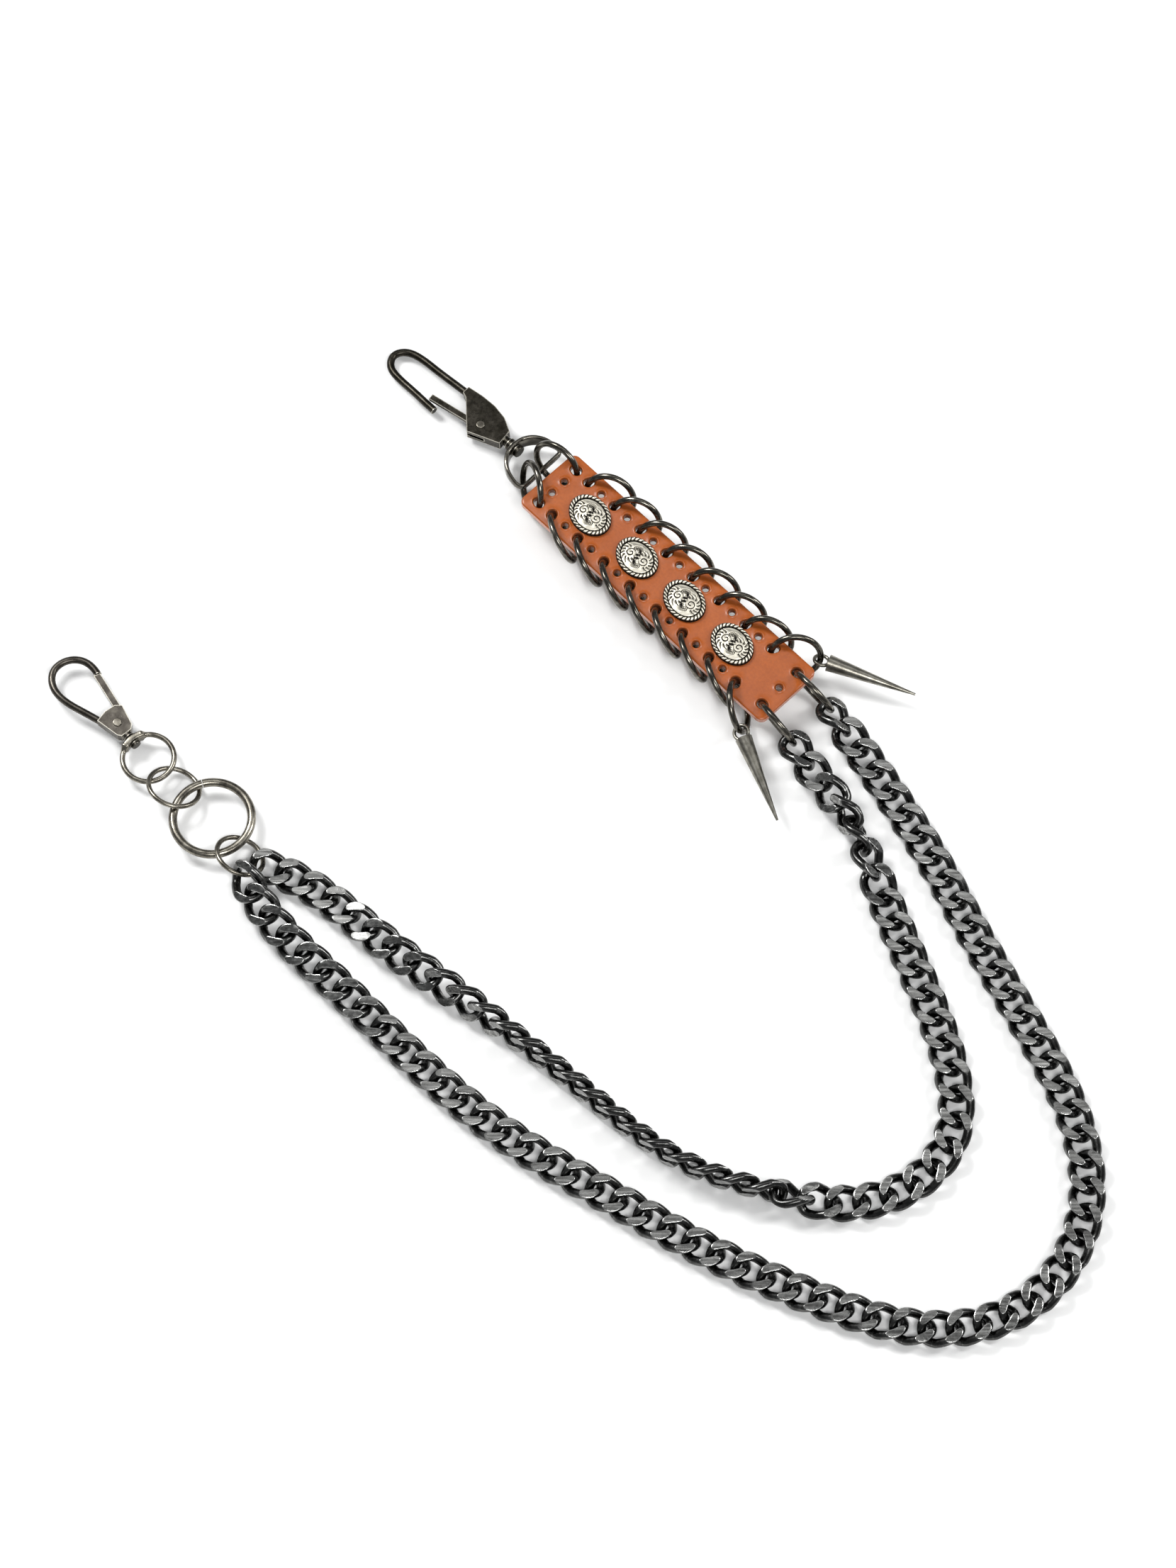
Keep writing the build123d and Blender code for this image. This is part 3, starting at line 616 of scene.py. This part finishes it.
cut = np.full(U.shape, FAR)  # distance to the nearest cut, in widths of that cut
for row in range(U.shape[0]):
    if u[row] < 0.8:
        dx = X[row][:, None] - line_points[None, :, 0]
        dy = Y[row][:, None] - line_points[None, :, 1]
        cut[row] = (np.sqrt(dx**2 + dy**2) / widths[None, :]).min(axis=1)
field = U < FIELD_U
groove = np.where(field, np.exp(-(cut**2) * 0.9), 0.0)
swirl = 0.5 + 0.5 * np.sin(1.9 * X + 1.3 * np.sin(0.9 * Y) + 0.5) * np.cos(1.6 * Y)
rope_mid, rope_half = 0.892, 0.094
v = (U - rope_mid) / rope_half
STRANDS, TWIST = 30, 1.25
strand = np.abs(np.sin(T * STRANDS / 2 + v * TWIST))
rope = np.where(np.abs(v) < 1, np.sqrt(np.clip(1 - v**2, 0, 1)) * (0.12 + 0.88 * strand**0.7), 0)
gutter = np.exp(-(((U - 0.782) / 0.011) ** 2))
outer = np.clip((1 - U) / 0.03, 0, 1)
RIM_HEIGHT, DOME = 0.9, 0.8625
height = RIM_HEIGHT + DOME * (1 - (U / 0.78) ** 2).clip(0, 1)
height = height + np.where(field, 0.16 * swirl - 0.4 * groove, 0) + 0.8 * rope - 0.35 * gutter
height = height * (0.45 + 0.55 * outer**0.5)
relief = np.where(field, 0.66 + 0.1 * swirl - 1.1 * groove, 0.95 * rope * strand**0.6) - 0.5 * gutter
relief = np.clip(relief, 0, 1)
SEAT = STRAP_THICK / 2 - 0.02
points = [(0.0, 0.0, (SEAT + RIM_HEIGHT + DOME + 0.1) * MM)]
points += [(x * MM, y * MM, (SEAT + z) * MM) for x, y, z in zip(X.ravel(), Y.ravel(), height.ravel())]
relief_values = [0.6] + list(relief.ravel())
faces = [[0, 1 + k, 1 + (k + 1) % ROUND] for k in range(ROUND)]
rows = len(u)
for row in range(rows - 1):
    for k in range(ROUND):
        p, q = 1 + row * ROUND + k, 1 + row * ROUND + (k + 1) % ROUND
        faces.append([p, p + ROUND, q + ROUND, q])
# Underside: a turned-down rim and a hollow back, as shares of the oval, then the round post that the
# screw goes into, with its radii. Each comes with its height over the seat.
hollow = ((1, 0), (0.965, 0), (0.94, 0.35), (0.4, 0.5))
post = ((2.35, 0.45), (2.25, -2.9), (1.3, -2.9))
under = [(CONCHO_HALF[0] * f, CONCHO_HALF[1] * f, z) for f, z in hollow]
under += [(r, r, z) for r, z in post]
last = 1 + (rows - 1) * ROUND
for half_x, half_y, z in under:
    start = len(points)
    for k in range(ROUND):
        x, y = half_x * math.cos(t[k]), half_y * math.sin(t[k])
        points.append((x * MM, y * MM, (SEAT + z) * MM))
        relief_values.append(0.5 if half_x > 9 else 0.2)
    for k in range(ROUND):
        p, q = last + k, last + (k + 1) % ROUND
        faces.append([p, start + k, start + (k + 1) % ROUND, q])
    last = start
concho_mesh = add_mesh("concho_look", points, faces, relief_look)
add_values(concho_mesh, "relief", relief_values)
for i in range(CONCHO_COUNT):
    concho = add_object(f"concho_{i + 1}_look", concho_mesh)
    place = Matrix.Translation(Vector((CONCHO_FIRST + i * CONCHO_PITCH, 0, 0)) * MM)
    concho.matrix_world = strap_frame @ place @ Matrix.Rotation(CONCHO_TURN, 4, "Z")
    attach(concho, "strap")
    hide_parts(f"concho_{i + 1}")


# ---------- bail and swivel ring: forged loops with a section that changes along them ----------
def forged_loop(name, corners, material, steps, around=28):
    """Closed loop through corners of x, y, half wall, half band and squareness of the section."""
    corners, path = np.array(corners, float), []
    for i in range(len(corners)):
        p0, p1, p2, p3 = (corners[(i + k - 1) % len(corners)] for k in range(4))
        for k in range(steps):
            f = k / steps
            cubic = 2 * p0 - 5 * p1 + 4 * p2 - p3 + f * (3 * (p1 - p2) + p3 - p0)
            path.append(p1 + 0.5 * f * (p2 - p0 + f * cubic))
    path = np.array(path)
    ahead = np.roll(path[:, :2], -1, 0) - np.roll(path[:, :2], 1, 0)
    ahead /= np.linalg.norm(ahead, axis=1)[:, None]
    points, faces = [], []
    for (x, y, wall, band, square), (ax, ay) in zip(path, ahead):
        for k in range(around):
            c, d = math.cos(2 * math.pi * k / around), math.sin(2 * math.pi * k / around)
            out = wall * math.copysign(abs(c) ** (2 / square), c)
            z = band * math.copysign(abs(d) ** (2 / square), d)
            points.append(((x + ay * out) * MM, (y - ax * out) * MM, z * MM))
    for i in range(len(path)):
        for k in range(around):
            p, q = i * around, (i + 1) % len(path) * around
            faces.append([p + k, q + k, q + (k + 1) % around, p + (k + 1) % around])
    return add_mesh(name, points, faces, material)


def bored(mesh, name, radius, x, reach=4, around=36):
    """The mesh with a round hole along its x axis, from reach before x to reach after it."""
    ring = [2 * math.pi * k / around for k in range(around)]
    points = [
        (end * MM, radius * math.cos(t) * MM, radius * math.sin(t) * MM)
        for end in (x - reach, x + reach) for t in ring
    ]
    caps = [list(range(around))[::-1], list(range(around, 2 * around))]
    sides = [[k, k + around, (k + 1) % around + around, (k + 1) % around] for k in range(around)]
    tool = add_object("bore_tool", add_mesh("bore_tool", points, caps + sides, None))
    blank = add_object("bore_blank", mesh)
    cut = blank.modifiers.new("bore", "BOOLEAN")
    cut.operation, cut.solver, cut.object = "DIFFERENCE", "EXACT", tool
    made = bpy.data.meshes.new_from_object(blank.evaluated_get(bpy.context.evaluated_depsgraph_get()))
    made.name = name
    made.set_sharp_from_angle(angle=math.radians(40))
    bpy.data.objects.remove(tool)
    bpy.data.objects.remove(blank)
    return made


def level_frame(at, heading, dip=0.0):
    """Axes at a point: x along heading and down by dip, y level and to the left."""
    h, d = math.radians(heading), math.radians(dip)
    x = Vector((math.cos(h) * math.cos(d), math.sin(h) * math.cos(d), -math.sin(d)))
    y = Vector((-math.sin(h), math.cos(h), 0))
    return Matrix.Translation(Vector(at) * MM) @ Matrix((x, y, x.cross(y))).transposed().to_4x4()


bail_side = [
    (0.5, 4.2, 1.05, 3.4, 3.4), (3.0, 7.9, 1.0, 3.4, 3.2), (6.6, 10.4, 0.95, 3.1, 3.0),
    (10.3, 11.6, 0.9, 2.3, 2.6), (13.4, 11.9, 0.9, 1.6, 2.4), (15.3, 10.8, 0.9, 1.4, 2.4),
    (15.7, 8.6, 0.9, 1.4, 2.6), (15.7, 4, 0.9, 1.4, 2.6),
]
bail_corners = [(-0.05, 0, 1.1, 3.4, 3.6), *bail_side, (15.7, 0, 0.9, 1.4, 2.6)]
bail_corners += [(x, -y, *section) for x, y, *section in reversed(bail_side)]
bail_mesh = forged_loop("bail_blank", bail_corners, metals["dark_nickel"], 10)
bail = add_object("bail_look", bored(bail_mesh, "bail_look", STEM_BORE, 0))
bail.matrix_world = (
    level_frame(HOOK1_AT, HOOK1_HEADING, HOOK1_DIP)
    @ Matrix.Translation((0, STEM_Y * MM, 0)) @ Matrix.Rotation(math.pi, 4, "Z")
)
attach(bail, "bail")
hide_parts("bail")

# A round wire that is a flat band up to FLAT_TO degrees from the pin and blends over BLEND degrees.
FLAT_TO, BLEND = 25, 9
corners = []
for k in range(72):
    turn = k * 5 if k < 36 else k * 5 - 360
    f = min(max((abs(turn) - FLAT_TO) / BLEND, 0), 1)
    f = f * f * (3 - 2 * f)
    x, y = SWIVEL_R * math.cos(math.radians(turn)), SWIVEL_R * math.sin(math.radians(turn))
    corners.append((x, y, 1.5 - 0.4 * f, 2.6 - 1.5 * f, 4.0 - 2.0 * f))
swivel_mesh = forged_loop("swivel_blank", corners, metals["antique_nickel"], 3)
swivel = add_object("swivel_ring_look", bored(swivel_mesh, "swivel_ring_look", PIN_BORE, SWIVEL_R))
swivel.matrix_world = level_frame(SWIVEL_AT, HOOK2_HEADING)
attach(swivel, "swivel_ring")
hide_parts("swivel_ring")


# ---------- floor, light and camera, in metres and watts ----------
FLOOR_Z, FLOOR_HALF = -0.001, 6  # just under the lowest links
floor_mesh = bpy.data.meshes.new("floor")
floor_corners = [
    (x * FLOOR_HALF, y * FLOOR_HALF, FLOOR_Z) for x, y in ((-1, -1), (1, -1), (1, 1), (-1, 1))
]
floor_mesh.from_pydata(floor_corners, [], [[0, 1, 2, 3]])
paper = bpy.data.materials.new("pale_floor")
paper.use_nodes = True
paper_bsdf = next(n for n in paper.node_tree.nodes if n.type == "BSDF_PRINCIPLED")
paper_bsdf.inputs["Base Color"].default_value = (0.86, 0.86, 0.855, 1)
paper_bsdf.inputs["Roughness"].default_value = 0.9
floor_mesh.materials.append(paper)
add_object("floor", floor_mesh)

world = bpy.data.worlds.new("studio")
world.use_nodes = True
background = next(n for n in world.node_tree.nodes if n.type == "BACKGROUND")
background.inputs["Color"].default_value = (0.96, 0.98, 1.0, 1)
background.inputs["Strength"].default_value = 0.22
bpy.context.scene.world = world
bpy.context.scene.view_settings.view_transform = "Standard"


def softbox(name, at, size, power, aim=(0, 0, 0)):
    lamp = bpy.data.lights.new(name, "AREA")
    lamp.shape = "RECTANGLE"
    lamp.size, lamp.size_y = size
    lamp.energy = power
    made = add_object(name, lamp)
    made.location = at
    made.rotation_euler = (Vector(aim) - Vector(at)).to_track_quat("-Z", "Y").to_euler()


softbox("key", (-0.9, 0.75, 1.3), (0.5, 0.5), 21)
softbox("front", (0.2, -0.9, 1.6), (1.0, 0.4), 16)
softbox("sheen", (0.0, 0.8, 1.75), (1.6, 0.5), 4)
softbox("fill", (1.2, 0.2, 1.0), (0.25, 0.8), 11)

camera_data = bpy.data.cameras.new("camera")
camera_data.lens = 120
camera_data.sensor_width = 36
camera_data.clip_end = 20
camera = add_object("camera", camera_data)
CAMERA_RISE, CAMERA_DISTANCE = math.radians(65.5), 2.1
aim = Vector((0.0088, 0.0185, 0.0))
camera.location = aim + Vector((0, -math.cos(CAMERA_RISE), math.sin(CAMERA_RISE))) * CAMERA_DISTANCE
camera.rotation_euler = (aim - camera.location).to_track_quat("-Z", "Y").to_euler()
bpy.context.scene.camera = camera
